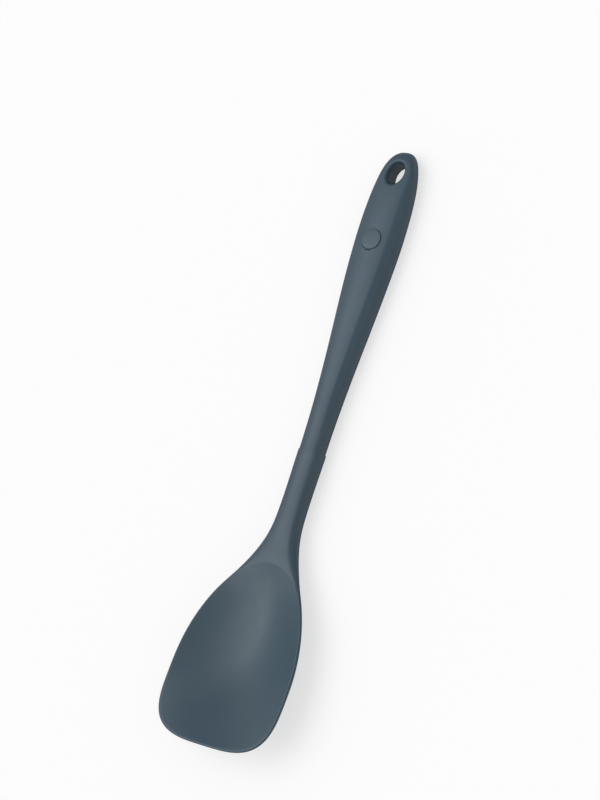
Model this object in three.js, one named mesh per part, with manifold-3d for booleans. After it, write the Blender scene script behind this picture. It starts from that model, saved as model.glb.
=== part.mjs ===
// A silicone cooking spoon: a stiff nylon core overmoulded in two shots of silicone, one for the grip
// and one for the bowl with its neck sleeve, and a plain round badge seated in the grip's face.
// It lies on its back with the bowl's hollow facing up: +X runs to the hanging end, +Z is up.

import * as THREE from 'three';
import { mergeVertices } from 'three/addons/utils/BufferGeometryUtils.js';
import Module from 'manifold-3d';

const wasm = await Module();
wasm.setup();

// Driving dimensions in millimetres. A station is a distance from the hanging end along the spoon.
const LENGTH = 290;
const FIT = 0.3; // clearance between neighbouring pieces
const SKIN = 1.5; // silicone over the core in the grip and neck

// Grip
const GRIP_WIDTH = 25;
const GRIP_THICKNESS = 12.1;
const GRIP_END = 37; // length of the rounded hanging end in plan
const GRIP_END_POWER = 2.3; // fullness of that rounding
const NOSE = 5; // length of the hanging end's rounding in side view
const NOSE_POWER = 2.5;
const FRONT_EDGE = 2.4; // rounding of the widest line's upper side
const BACK_EDGE = 6; // width of the round that turns up from the flat back
const GRIP_CROWN = 3; // how far the crowned face falls from its middle to the outline
const END_FALL = 1.2; // how much more it falls to the hanging end
const FACE_SHARE = 0.6; // half the face's width, as a share of the grip's; the sides slope away from it
const FACE_EDGE = 0.05; // rounding of the face's edge, as a share
const SIDE_FALL = 3.4; // how much more the sides fall over the grip's half width
const SIDE_END = 13; // length of the slope at the hanging end
const THINNING = 60; // station where the grip starts to thin towards the waist
const FLAT_BACK_END = 120; // station where the flat back starts to lift towards the neck
const WAIST = 145; // station of the narrowest place
const WAIST_WIDTH = 12.8;
const WAIST_THICKNESS = 10.6;
const WAIST_LIFT = 0.6;
const WAIST_FRONT_EDGE = 3.2;
const WAIST_BACK_EDGE = 3.8;
const WAIST_CROWN = 1.7;
const WAIST_FACE_SHARE = 0.48;
const WAIST_SIDE_FALL = 0.3;

// Hanging hole
const HOLE_STATION = 12;
const HOLE_LENGTH = 11.6;
const HOLE_WIDTH = 8.8;
const HOLE_EDGE = 0.9; // rounding of its mouths
const HOLE_LINING = 1.3;

// Badge
const BADGE_STATION = 46.2;
const BADGE_RADIUS = 5;
const BADGE_PROUD = 0.15;
const BADGE_EDGE = 0.4; // rounding of its edge
const BADGE_DOME = 0.05;
const SEAT_DEPTH = 0.9;

// Neck and bowl
const SEAM = 149; // the two shots of silicone meet here
const SEAM_STEP = 0.25; // the sleeve stands this much proud of the grip
const SLEEVE_WIDTH = 12.9;
const SLEEVE_END = 181;
const NECK_WIDTH = 13;
const WIDEST = 260;
const BOWL_WIDTH = 65;
const TIP_POWER = 3.4; // squareness of the bowl's tip
const RIM_HALF = 1; // half the rim's thickness
const RIM_LAND = 0.8; // flat top of the rim
const CROWN_START = 199.4; // from here the neck's rounded top fades into the bowl
const CROWN_END = 215;
const ARCH = 203; // top of the arch where the hollow starts
const ARCH_LENGTH = 60;
const ARCH_HALF_WIDTH = 32.9;
const ARCH_FOOT = 236; // station where the arch meets the rim
const DEEPEST = 238;
const BOWL_WALL = 4.4; // silicone, core and silicone at the deepest point

// Sweeps of the neck and bowl along the spoon, as [station, size, slope] knots
const HALF_WIDTH_SWEEP = [
  [SEAM, SLEEVE_WIDTH / 2, 0],
  [SLEEVE_END, NECK_WIDTH / 2, 0.02],
  [214, 19.7, 0.63],
  [WIDEST, BOWL_WIDTH / 2, 0],
];
const RIM_SWEEP = [
  [SEAM, 5.6, 0.03],
  [187, 6.8, 0.05],
  [208, 9.2, 0.19],
  [223, 11.9, 0.13],
  [259, 15.5, 0.1],
  [LENGTH, 18.9, 0.11],
];
const SIDE_WALL_SWEEP = [
  [SEAM, 1.8, 0],
  [SLEEVE_END, 1.9, 0.02],
  [198, 2.6, 0],
  [216, RIM_HALF, 0],
];
const NECK_TOP_SWEEP = [
  [SEAM, WAIST_THICKNESS + SEAM_STEP, 0.01],
  [187, 11.3, 0.015],
  [CROWN_START, 11.5, 0],
];
const BACK_SWEEP = [
  [SEAM, WAIST_LIFT - SEAM_STEP, 0.03],
  [SLEEVE_END, 1.6, 0.035],
  [200, 2.2, 0],
  [DEEPEST, 0, 0],
  [264, 5.6, 0.34],
  [LENGTH, 17.9, 0.585],
];
const HOLLOW_SWEEP = [
  [ARCH, 11.38, -0.33],
  [DEEPEST, BOWL_WALL, 0],
  [264, 9.2, 0.33],
  [LENGTH - RIM_LAND, 19.7, 0.5],
];
const SECTION_POWER_SWEEP = [
  [SLEEVE_END, 0.5, 0], // an ellipse at the neck
  [205, 1, 0], // a parabola at the bowl
];

// Core
const CORE_START = 2.4;
const CORE_EDGE = 2.2;
const ROD_END = 206;
const BLADE_START = 196;
const BLADE_WIDEST = 244;
const BLADE_END = 266;
const BLADE_POWER = 2.6; // squareness of the blade's tip
const BLADE_EDGE_POWER = 4;
const ROD_HALF_WIDTH_SWEEP = [
  [SEAM, WAIST_WIDTH / 2 - SKIN - FIT, 0],
  [ROD_END, 4.8, 0],
];
const ROD_HALF_HEIGHT_SWEEP = [
  [SEAM, 3.2, 0],
  [190, 3, 0],
  [ROD_END, 2.2, 0],
];
const BLADE_HALF_WIDTH_SWEEP = [
  [BLADE_START, 4.5, 0.1],
  [BLADE_WIDEST, 20, 0],
];
const BLADE_HALF_HEIGHT_SWEEP = [
  [BLADE_START, 2, 0],
  [211, 1.5, -0.05],
  [225, 0.8, 0],
];
const SLOT_STATIONS = [50, 76, 102];
const SLOT_LENGTH = 18;
const SLOT_WIDTH = 4.4;
const KEY_HOLE_RADIUS = 2.4;
const KEY_HOLES = [
  [226, 8],
  [226, -8],
  [242, 13],
  [242, 0],
  [242, -13],
  [256, 8],
  [256, -8],
]; // station and place to the side

// Smoothness of the solids
const CORNER_STEPS = 4;
const CROWN_STEPS = 12;
const SIDE_STEPS = 6; // steps from the middle of a bowl section to its edge
const ROUND_STEPS = 24;
const RIM_POWER = 6; // squareness of the rim's edge
const CORNER_SHARE = 0.84; // the largest corner, as a share of a section's half width
const WALL_SHARE = 0.6; // the largest upper round, as a share of a section's side
const CUT_HEIGHT = 40; // cutters reach this high
const OVERCUT = 0.05; // the hollow's cutter leaves the bowl this far above the rim
const MERGE = 1e-4; // points closer than this are one point

const GRIP_MIDDLE = 5; // height of the hanging end's tip

/** A smooth curve through [station, value, slope] knots, held flat outside them. */
function curve(knots) {
  return (station) => {
    if (station <= knots[0][0]) return knots[0][1];
    const end = knots.findIndex((knot) => knot[0] >= station);
    if (end < 0) return knots.at(-1)[1];
    const [x0, y0, slope0] = knots[end - 1];
    const [x1, y1, slope1] = knots[end];
    const span = x1 - x0;
    const t = (station - x0) / span;
    const rise = t * t * (3 - 2 * t);
    const leave = t * (1 - t) * (1 - t) * span * slope0;
    const arrive = t * t * (t - 1) * span * slope1;
    return y0 + (y1 - y0) * rise + leave + arrive;
  };
}

/** Height of a superellipse arc of unit size at t, from 1 in the middle to 0 at its end. */
function arc(t, power) {
  return (1 - Math.min(1, Math.abs(t)) ** power) ** (1 / power);
}

// Outline and heights of the grip
const gripTaper = curve([[GRIP_END, GRIP_WIDTH / 2, 0], [WAIST, WAIST_WIDTH / 2, 0]]);
const gripTop = curve([[THINNING, GRIP_THICKNESS, 0], [SEAM, WAIST_THICKNESS, 0]]);
const gripCrown = curve([[GRIP_END, GRIP_CROWN, 0], [SEAM, WAIST_CROWN, 0]]);
const faceShare = curve([[GRIP_END, FACE_SHARE, 0], [SEAM, WAIST_FACE_SHARE, 0]]);
const sideFall = curve([[GRIP_END, SIDE_FALL, 0], [SEAM, WAIST_SIDE_FALL, 0]]);
const frontEdge = curve([[GRIP_END, FRONT_EDGE, 0], [SEAM, WAIST_FRONT_EDGE, 0]]);
const backEdge = curve([[GRIP_END, BACK_EDGE, 0], [SEAM, WAIST_BACK_EDGE, 0]]);
const gripLift = curve([[FLAT_BACK_END, 0, 0], [SEAM, WAIST_LIFT, 0.03]]);

/** How far a station lies into the rounded hanging end, from 0 at its shoulder to 1 at its tip. */
function intoEnd(station) {
  return Math.max(0, GRIP_END - station) / GRIP_END;
}

/** Half the grip's width at a station. */
function gripHalf(station) {
  return gripTaper(station) * arc(intoEnd(station), GRIP_END_POWER);
}

/** Height of the grip's front along its middle, which falls towards the hanging end as towards the sides. */
function gripFront(station) {
  return gripTop(station) - (gripCrown(station) + END_FALL) * intoEnd(station) ** 2;
}

/** How far the grip's front lies below its middle at a distance to the side: crown and sloping sides. */
function gripFall(station, side) {
  const crown = gripCrown(station) * (1 - intoEnd(station) ** 2) * (side / gripHalf(station)) ** 2;
  const intoSlope = Math.max(0, SIDE_END - station) / SIDE_END;
  const across = Math.abs(side) / gripTaper(station);
  const reach = (intoSlope ** GRIP_END_POWER + across ** GRIP_END_POWER) ** (1 / GRIP_END_POWER);
  const pastFace = reach - faceShare(station);
  return crown + (sideFall(station) * (pastFace + Math.hypot(pastFace, FACE_EDGE))) / 2;
}

// Outline and heights of the neck and bowl
const bowlFlare = curve(HALF_WIDTH_SWEEP);
const rimHeight = curve(RIM_SWEEP);
const rimHalf = curve(SIDE_WALL_SWEEP);
const neckTop = curve(NECK_TOP_SWEEP);
const backMiddle = curve(BACK_SWEEP);
const hollowMiddle = curve(HOLLOW_SWEEP);
const sectionPower = curve(SECTION_POWER_SWEEP);
const crownFade = curve([[CROWN_START, 1, 0], [CROWN_END, 0, 0]]);

/** Half the bowl's width at a station, the rim taken in by an inset. */
function bowlHalf(station, inset = 0) {
  const intoTip = Math.max(0, station - WIDEST) / (LENGTH - WIDEST - inset);
  return (bowlFlare(station) - inset) * arc(intoTip, TIP_POWER);
}

/** Half the rim's thickness at a station, rounded off at the lip. */
function lipHalf(station) {
  const intoLip = Math.max(0, station - (LENGTH - RIM_HALF)) / RIM_HALF;
  return rimHalf(station) * arc(intoLip, 2);
}

/** Top of the solid bowl, before it is hollowed, at a share of its half width. */
function bowlTop(station, share) {
  const crown = Math.max(0, neckTop(station) - rimHeight(station) - rimHalf(station)) * crownFade(station);
  const round = Math.max(0, 1 - share * share) ** sectionPower(station);
  return rimHeight(station) + lipHalf(station) * arc(share, RIM_POWER) + crown * round;
}

/** Back of the bowl at a share of its half width. */
function bowlBack(station, share) {
  const keel = rimHeight(station) - rimHalf(station) - backMiddle(station);
  const round = Math.max(0, 1 - share * share) ** sectionPower(station);
  return rimHeight(station) - lipHalf(station) * arc(share, RIM_POWER) - keel * round;
}

/** Half the hollow's width at a station: an arch at the neck, then the rim's inner edge. */
function hollowHalf(station) {
  const intoArch = Math.max(0, ARCH + ARCH_LENGTH - station) / ARCH_LENGTH;
  const arch = station < ARCH_FOOT ? ARCH_HALF_WIDTH * arc(intoArch, 2) : BOWL_WIDTH;
  return Math.min(arch, bowlHalf(station, RIM_LAND));
}

/** Surface of the hollow at a distance to the side. */
function hollowFloor(station, side) {
  const half = hollowHalf(station);
  const edge = bowlTop(station, half / bowlHalf(station));
  return hollowMiddle(station) + (edge - hollowMiddle(station)) * (side / half) ** 2;
}

/** Stations from one to another, in even steps. */
function evenly(from, to, steps) {
  return Array.from({ length: steps + 1 }, (unused, i) => from + ((to - from) * i) / steps);
}

/** Stations of a round end, which crowd towards the end. */
function towardsEnd(from, end, steps, closest) {
  return Array.from({ length: steps }, (unused, i) => {
    const turn = (Math.PI / 2) * ((i + 1) / steps);
    return end + (from - end) * Math.max(closest, 1 - Math.sin(turn));
  });
}

/** Places a [side, height] outline at a station as a ring of points. */
function ringAt(station, outline) {
  return outline.map(([side, height]) => new THREE.Vector3(LENGTH / 2 - station, side, height));
}

/** A closed solid through rings of points that run the same way round, each ring's end capped. */
function loft(rings) {
  const count = rings[0].length;
  const points = rings.flat();
  const triangles = [];
  rings.slice(1).forEach((ring, r) => {
    for (let i = 0; i < count; i++) {
      const next = (i + 1) % count;
      const [a, b] = [r * count + i, r * count + next];
      const [c, d] = [b + count, a + count];
      triangles.push(a, d, b, b, d, c);
    }
  });
  const cap = (ring, first, flip) => {
    const sum = ring.reduce((total, point) => total.add(point), new THREE.Vector3());
    const middle = points.push(sum.divideScalar(count)) - 1;
    for (let i = 0; i < count; i++) {
      const [here, next] = [first + i, first + ((i + 1) % count)];
      triangles.push(middle, flip ? next : here, flip ? here : next);
    }
  };
  cap(rings[0], 0, false);
  cap(rings.at(-1), (rings.length - 1) * count, true);
  const geometry = new THREE.BufferGeometry().setFromPoints(points);
  return geometry.setIndex(triangles);
}

/** Turns a closed geometry into a solid that can be joined and cut. */
function solid(geometry) {
  const bare = geometry.clone();
  bare.deleteAttribute('normal');
  bare.deleteAttribute('uv');
  const merged = mergeVertices(bare, MERGE);
  return new wasm.Manifold(
    new wasm.Mesh({
      numProp: 3,
      vertProperties: merged.attributes.position.array,
      triVerts: new Uint32Array(merged.index.array),
    }),
  );
}

/** Turns a finished solid into a named mesh. */
function piece(name, body, material) {
  const made = body.getMesh();
  const geometry = new THREE.BufferGeometry();
  geometry.setAttribute('position', new THREE.BufferAttribute(new Float32Array(made.vertProperties), 3));
  geometry.setIndex(new THREE.BufferAttribute(new Uint32Array(made.triVerts), 1));
  geometry.computeVertexNormals();
  const mesh = new THREE.Mesh(geometry, material);
  mesh.name = name;
  return mesh;
}

/** Outline of a flat-backed section: a front that falls to its sides, and rounded edges. */
function roundedOutline(half, low, high, edges, fall = () => 0) {
  const [front, back] = edges.map((edge) => Math.min(edge, CORNER_SHARE * half));
  const round = Math.min(front, WALL_SHARE * (high - fall(half) - low));
  const widest = high - fall(half) - round;
  const turns = evenly(0, Math.PI / 2, CORNER_STEPS);
  const lower = turns.map((turn) => [
    half - back + back * Math.sin(turn),
    low + (widest - low) * (1 - Math.cos(turn)),
  ]);
  const upper = turns.slice(0, -1).toReversed().map((turn) => {
    const side = half - round + round * Math.sin(turn);
    return [side, high - fall(side) - round * (1 - Math.cos(turn))];
  });
  const top = evenly(half - round, round - half, CROWN_STEPS).slice(1, -1);
  const right = [...lower, ...upper];
  const left = right.toReversed().map(([side, height]) => [-side, height]);
  return [...right, ...top.map((side) => [side, high - fall(side)]), ...left];
}

/** Section of the grip at a station, taken in by an inset. */
function gripSection(station, inset = 0) {
  const full = arc(Math.max(0, NOSE - station) / NOSE, NOSE_POWER);
  const low = GRIP_MIDDLE - (GRIP_MIDDLE - gripLift(station)) * full + inset;
  const high = GRIP_MIDDLE + (gripFront(station) - GRIP_MIDDLE) * full - inset;
  const edges = inset ? [CORE_EDGE, CORE_EDGE] : [frontEdge(station), backEdge(station)];
  const fall = (side) => gripFall(station, side) * full;
  return ringAt(station, roundedOutline(gripHalf(station) - inset, low, high, edges, fall));
}

/** Shares of a half width, from one edge to the other, closer together near the edges. */
function shares() {
  return evenly(-1, 1, 2 * SIDE_STEPS).map((t) => Math.sin((Math.PI / 2) * t));
}

/** A ring that runs along an upper line from right to left and back along a lower one. */
function leafSection(station, half, upper, lower) {
  const across = shares();
  const top = across.map((share) => [-share * half, upper(-share)]);
  const back = across.slice(1, -1).map((share) => [share * half, lower(share)]);
  return ringAt(station, [...top, ...back]);
}

/** An upright oval cutter with flared mouths at the grip's two faces. */
function ovalCutter(station, length, width, flare) {
  const turns = evenly(0, 2 * Math.PI, ROUND_STEPS).slice(0, -1);
  const ring = (height, grow) =>
    turns.map((turn) => {
      const along = (length / 2 + grow) * Math.cos(turn);
      return new THREE.Vector3(LENGTH / 2 - station + along, (width / 2 + grow) * Math.sin(turn), height);
    });
  const mouth = flare ? evenly(0, 1, CORNER_STEPS) : [];
  const top = gripFront(station);
  const upper = mouth.map((t) => ring(top - flare * t, flare * (1 - arc(1 - t, 2))));
  const lower = mouth.map((t) => ring(flare * (1 - t), flare * (1 - arc(t, 2))));
  return solid(loft([ring(CUT_HEIGHT, flare), ...upper, ...lower, ring(-CUT_HEIGHT, flare)]));
}

/** An upright slot with round ends through the core. */
function slotCutter(station, length, width) {
  const radius = width / 2;
  const run = length / 2 - radius;
  const outline = new THREE.Shape();
  outline.absarc(run, 0, radius, -Math.PI / 2, Math.PI / 2);
  outline.absarc(-run, 0, radius, Math.PI / 2, (3 * Math.PI) / 2);
  outline.closePath();
  const depth = 2 * CUT_HEIGHT;
  const bar = new THREE.ExtrudeGeometry(outline, { depth, bevelEnabled: false, curveSegments: 6 });
  return solid(bar.translate(LENGTH / 2 - station, 0, -CUT_HEIGHT));
}

/** An upright round peg through the core's blade. */
function pegCutter(station, side, radius) {
  const peg = new THREE.CylinderGeometry(radius, radius, 2 * CUT_HEIGHT, ROUND_STEPS / 2);
  return solid(peg.rotateX(Math.PI / 2).translate(LENGTH / 2 - station, side, 0));
}

// Widths and heights of the core
const rodHalf = curve(ROD_HALF_WIDTH_SWEEP);
const rodHeight = curve(ROD_HALF_HEIGHT_SWEEP);
const bladeHalf = curve(BLADE_HALF_WIDTH_SWEEP);
const bladeHeight = curve(BLADE_HALF_HEIGHT_SWEEP);

/** Front of the bowl's wall above the core: the neck's top, then the floor of the hollow. */
function wallFront(station, side) {
  return station > ARCH ? hollowFloor(station, side) : bowlTop(station, 0);
}

/** Section of the core's rod in the neck, swollen by a clearance. */
function rodSection(station, clearance) {
  const middle = (wallFront(station, 0) + backMiddle(station)) / 2;
  const height = rodHeight(station) + clearance;
  const half = rodHalf(station) + clearance;
  return ringAt(station, roundedOutline(half, middle - height, middle + height, [CORE_EDGE, CORE_EDGE]));
}

/** Section of the core's blade, which follows the middle of the bowl's wall, swollen by a clearance. */
function bladeSection(station, clearance) {
  const intoTip = Math.max(0, station - BLADE_WIDEST) / (BLADE_END + clearance - BLADE_WIDEST);
  const half = (bladeHalf(station) + clearance) * arc(intoTip, BLADE_POWER);
  const height = (share) => (bladeHeight(station) + clearance) * arc(share, BLADE_EDGE_POWER);
  const middle = (share) => {
    const back = bowlBack(station, (share * half) / bowlHalf(station));
    return (back + wallFront(station, share * half)) / 2;
  };
  const upper = (share) => middle(share) + height(share);
  const lower = (share) => middle(share) - height(share);
  return leafSection(station, half, upper, lower);
}

/** The stiff core, swollen by a clearance when it is used to cut its own cavity. */
function coreSolid(clearance) {
  const gripStations = [
    ...towardsEnd(GRIP_END, CORE_START - clearance, 7, 0).reverse(),
    ...evenly(GRIP_END, WAIST, 9),
  ];
  const neckStations = [...evenly(SEAM + CORE_EDGE, BLADE_START, 4), ROD_END + clearance];
  const bladeStations = [
    ...evenly(BLADE_START - clearance, BLADE_WIDEST, 9),
    ...towardsEnd(BLADE_WIDEST, BLADE_END + clearance, 6, 0.01),
  ];
  const rod = [
    ...gripStations.map((station) => gripSection(station, SKIN + FIT - clearance)),
    ...neckStations.map((station) => rodSection(station, clearance)),
  ];
  const blade = bladeStations.map((station) => bladeSection(station, clearance));
  let body = solid(loft(rod)).add(solid(loft(blade)));

  const eye = 2 * (HOLE_LINING + FIT - clearance);
  body = body.subtract(ovalCutter(HOLE_STATION, HOLE_LENGTH + eye, HOLE_WIDTH + eye, 0));
  for (const station of SLOT_STATIONS)
    body = body.subtract(slotCutter(station, SLOT_LENGTH - 2 * clearance, SLOT_WIDTH - 2 * clearance));
  for (const [station, side] of KEY_HOLES)
    body = body.subtract(pegCutter(station, side, KEY_HOLE_RADIUS - clearance));
  return body;
}

/** The grip's silicone: outer form, less the core's cavity, the hanging hole and the badge's seat. */
function gripSolid(cavity) {
  const stations = [
    ...towardsEnd(GRIP_END, 0, 9, 0.0015).reverse(),
    ...evenly(GRIP_END, FLAT_BACK_END, 8),
    ...evenly(FLAT_BACK_END, SEAM - FIT / 2, 4).slice(1),
  ];
  const seatRadius = BADGE_RADIUS + FIT;
  const seat = new THREE.CylinderGeometry(seatRadius, seatRadius, SEAT_DEPTH * 2, ROUND_STEPS);
  seat.rotateX(Math.PI / 2).translate(LENGTH / 2 - BADGE_STATION, 0, GRIP_THICKNESS);
  return solid(loft(stations.map((station) => gripSection(station))))
    .subtract(cavity)
    .subtract(ovalCutter(HOLE_STATION, HOLE_LENGTH, HOLE_WIDTH, HOLE_EDGE))
    .subtract(solid(seat));
}

/** The bowl's silicone with its neck sleeve: outer form, less the hollow and the core's cavity. */
function bowlSolid(cavity) {
  const stations = [
    ...evenly(SEAM + FIT / 2, SLEEVE_END, 3),
    ...evenly(SLEEVE_END, WIDEST, 16).slice(1),
    ...towardsEnd(WIDEST, LENGTH, 11, 0.002),
  ];
  const section = (station) =>
    leafSection(
      station,
      bowlHalf(station),
      (share) => bowlTop(station, share),
      (share) => bowlBack(station, share),
    );
  return solid(loft(stations.map(section))).subtract(hollowCutter()).subtract(cavity);
}

/** What is scooped out of the bowl: its floor below, and open air above. */
function hollowCutter() {
  const end = LENGTH - RIM_LAND;
  const stations = [
    ...towardsEnd(ARCH_FOOT, ARCH, 9, 0.003).reverse(),
    ...evenly(ARCH_FOOT, WIDEST, 5),
    ...towardsEnd(WIDEST, end, 10, 0.003),
  ];
  const section = (station) => {
    const half = hollowHalf(station);
    const lift = (share) => OVERCUT * share * share;
    const floor = shares().map((share) => [share * half, hollowFloor(station, share * half) + lift(share)]);
    return ringAt(station, [...floor, [half, CUT_HEIGHT], [-half, CUT_HEIGHT]]);
  };
  return solid(loft(stations.map(section)));
}

/** The badge: a plain disc with a rounded edge and a slightly domed face. */
function badgeSolid() {
  const floor = GRIP_THICKNESS - SEAT_DEPTH + FIT;
  const face = GRIP_THICKNESS + BADGE_PROUD;
  const shoulder = face - BADGE_DOME;
  const profile = [
    [0, floor],
    [BADGE_RADIUS, floor],
    [BADGE_RADIUS, shoulder - BADGE_EDGE / 2],
    [BADGE_RADIUS - BADGE_EDGE, shoulder],
    [0, face],
  ];
  const disc = new THREE.LatheGeometry(profile.map(([x, y]) => new THREE.Vector2(x, y)), ROUND_STEPS);
  return solid(disc.rotateX(Math.PI / 2).translate(LENGTH / 2 - BADGE_STATION, 0, 0));
}

const gripSilicone = new THREE.MeshStandardMaterial({ color: 0x3a4c56, roughness: 0.5, metalness: 0 });
const bowlSilicone = new THREE.MeshStandardMaterial({ color: 0x3a4c56, roughness: 0.58, metalness: 0 });
const nylon = new THREE.MeshStandardMaterial({ color: 0x1c1d1f, roughness: 0.6, metalness: 0 });
const badgeSilicone = new THREE.MeshStandardMaterial({ color: 0x46565f, roughness: 0.45, metalness: 0 });

const cavity = coreSolid(FIT);
const spoon = new THREE.Group();
spoon.add(
  piece('grip_skin', gripSolid(cavity), gripSilicone),
  piece('bowl_skin', bowlSolid(cavity), bowlSilicone),
  piece('nylon_core', coreSolid(0), nylon),
  piece('grip_badge', badgeSolid(), badgeSilicone),
);

export default spoon;
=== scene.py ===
"""Looks of a silicone spoon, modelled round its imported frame.

The two silicone skins are modelled as real shells over the stiff core: each starts as a grid for its
front, its border is extruded loop by loop round the edge, and a second grid closes the back. The
hanging hole, the badge's seat and the core's cavity are then cut, and every piece gets its finish.

Sizes are in millimetres, and a station is a distance along the spoon from its hanging end.
"""

import logging
import math
from dataclasses import dataclass, field
from enum import Enum
from typing import NamedTuple, Sequence

import bmesh
import bpy
from mathutils import Matrix, Vector


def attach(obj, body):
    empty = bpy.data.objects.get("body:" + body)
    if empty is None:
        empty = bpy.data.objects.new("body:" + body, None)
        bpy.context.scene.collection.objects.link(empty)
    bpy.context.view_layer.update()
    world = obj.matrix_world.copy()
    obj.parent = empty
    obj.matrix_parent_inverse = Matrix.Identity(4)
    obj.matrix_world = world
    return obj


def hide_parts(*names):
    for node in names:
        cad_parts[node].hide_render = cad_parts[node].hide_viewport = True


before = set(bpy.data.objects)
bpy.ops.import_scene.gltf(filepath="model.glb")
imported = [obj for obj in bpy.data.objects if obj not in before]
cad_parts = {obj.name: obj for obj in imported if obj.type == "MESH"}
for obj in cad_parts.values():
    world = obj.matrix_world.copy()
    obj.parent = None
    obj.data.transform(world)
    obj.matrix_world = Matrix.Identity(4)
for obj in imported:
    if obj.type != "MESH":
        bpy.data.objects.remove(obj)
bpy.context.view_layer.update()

LOG = logging.getLogger("spoon")

MM = 0.001
LENGTH = 290.0
SEAM = 149.0
GAP_AT_SEAM = 0.04
SEAM_STEP = 0.25
GRIP_THICKNESS = 12.1
WAIST_THICKNESS = 10.6
WAIST_LIFT = 0.6

# Points closer than these count as one, in a new mesh and after cutting.
WELD_GAP = 0.0001
MERGE_GAP = 0.003

# Half a width under this counts as none.
NO_WIDTH = 1e-6

# Nearly all of a noise lies between these values.
NOISE_LOW = 0.3
NOISE_HIGH = 0.7

Colour = tuple[float, float, float]
SLATE_BLUE: Colour = (0.0338, 0.0671, 0.0945)
BADGE_BLUE: Colour = (0.0348, 0.0681, 0.0955)
NYLON_BLACK: Colour = (0.012, 0.013, 0.014)


class Slot(Enum):
    """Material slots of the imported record."""

    GRIP = "grip_silicone"
    BOWL = "bowl_silicone"
    CORE = "core_nylon"
    BADGE = "badge_silicone"


class Side(Enum):
    """The two broad faces of a skin, and the outline between them, from the front to the back."""

    FRONT = 1
    OUTLINE = 0
    BACK = -1


class SelectBy(Enum):
    """What edit mode selects: Blender's switches for points, edges and faces."""

    EDGES = (False, True, False)
    FACES = (False, False, True)


class Knot(NamedTuple):
    """A place that a sweep passes through: its station, the size there, and the size's slope."""

    station: float
    size: float
    slope: float = 0.0


@dataclass(frozen=True)
class Sweep:
    """A smooth run of a size along the spoon, held level outside its knots."""

    knots: tuple[Knot, ...]

    def at(self, station: float) -> float:
        """The size at a station.

        Args:
            station: distance from the hanging end.

        Returns:
            The size, in the knots' own unit.
        """
        first, last = self.knots[0], self.knots[-1]
        if station <= first.station:
            return first.size
        if station >= last.station:
            return last.size
        upper = next(i for i, knot in enumerate(self.knots) if knot.station >= station)
        start, end = self.knots[upper - 1], self.knots[upper]
        span = end.station - start.station
        t = (station - start.station) / span
        rise = t * t * (3 - 2 * t)
        leave = t * (1 - t) ** 2 * span * start.slope
        arrive = t * t * (t - 1) * span * end.slope
        return start.size + (end.size - start.size) * rise + leave + arrive


def arc(t: float, power: float) -> float:
    """Height of a unit superellipse at t: 1 in the middle, 0 at the end."""
    return (1 - min(1.0, abs(t)) ** power) ** (1 / power)


def soft_min(a: float, b: float, width: float) -> float:
    """The lesser of two heights, with the crease between them rounded over a width."""
    blend = max(width - abs(a - b), 0.0) / width
    return min(a, b) - blend * blend * width / 4


def spread(start: float, end: float, step: float) -> list[float]:
    """Even stations from start up to but not including end, about a step apart."""
    count = max(1, round(abs(end - start) / step))
    return [start + (end - start) * i / count for i in range(count)]


def deselect() -> None:
    """Leaves edit mode and deselects every object."""
    if bpy.context.object and bpy.context.object.mode != "OBJECT":
        bpy.ops.object.mode_set(mode="OBJECT")
    bpy.ops.object.select_all(action="DESELECT")


def pick(piece: bpy.types.Object) -> None:
    """Makes one object the selected and active one.

    Args:
        piece: the object.
    """
    deselect()
    piece.select_set(True)
    bpy.context.view_layer.objects.active = piece


def edit(piece: bpy.types.Object, by: SelectBy) -> None:
    """Opens a piece in edit mode, to select by edges or by faces.

    Args:
        piece: the object to open.
        by: what a selection is made of.
    """
    pick(piece)
    bpy.ops.object.mode_set(mode="EDIT")
    bpy.context.tool_settings.mesh_select_mode = by.value


def cap_holes() -> None:
    """Closes the open borders of the mesh in edit mode."""
    bpy.ops.mesh.select_all(action="DESELECT")
    bpy.ops.mesh.select_non_manifold()
    bpy.ops.mesh.edge_face_add()


def face_outwards() -> None:
    """Turns every face of the mesh in edit mode outwards, and leaves edit mode."""
    bpy.ops.mesh.select_all(action="SELECT")
    bpy.ops.mesh.normals_make_consistent(inside=False)
    bpy.ops.object.mode_set(mode="OBJECT")


def apply_modifier(piece: bpy.types.Object, kind: str, **settings: object) -> None:
    """Adds a modifier to a piece and applies it.

    Args:
        piece: the object to change.
        kind: the modifier's type.
        **settings: values for the modifier's own properties.
    """
    pick(piece)
    modifier = piece.modifiers.new(kind.title(), kind)
    for key, value in settings.items():
        setattr(modifier, key, value)
    bpy.ops.object.modifier_apply(modifier=modifier.name)


def cut(piece: bpy.types.Object, cutter: bpy.types.Object) -> None:
    """Cuts a cutter out of a piece and throws the cutter away."""
    apply_modifier(piece, "BOOLEAN", operation="DIFFERENCE", solver="EXACT", object=cutter)
    bpy.data.objects.remove(cutter)


def clean(piece: bpy.types.Object) -> None:
    """Merges the doubled points that cutting leaves, and dissolves faces without area.

    Args:
        piece: the object that was cut.
    """
    pick(piece)
    bpy.ops.object.mode_set(mode="EDIT")
    bpy.ops.mesh.select_all(action="SELECT")
    bpy.ops.mesh.remove_doubles(threshold=MERGE_GAP * MM)
    bpy.ops.mesh.dissolve_degenerate(threshold=MERGE_GAP * MM)
    bpy.ops.object.mode_set(mode="OBJECT")


def smooth_by_angle(piece: bpy.types.Object, degrees: float) -> None:
    """Shades a piece smooth, apart from edges sharper than an angle."""
    pick(piece)
    bpy.ops.object.shade_smooth_by_angle(angle=math.radians(degrees))


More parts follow.
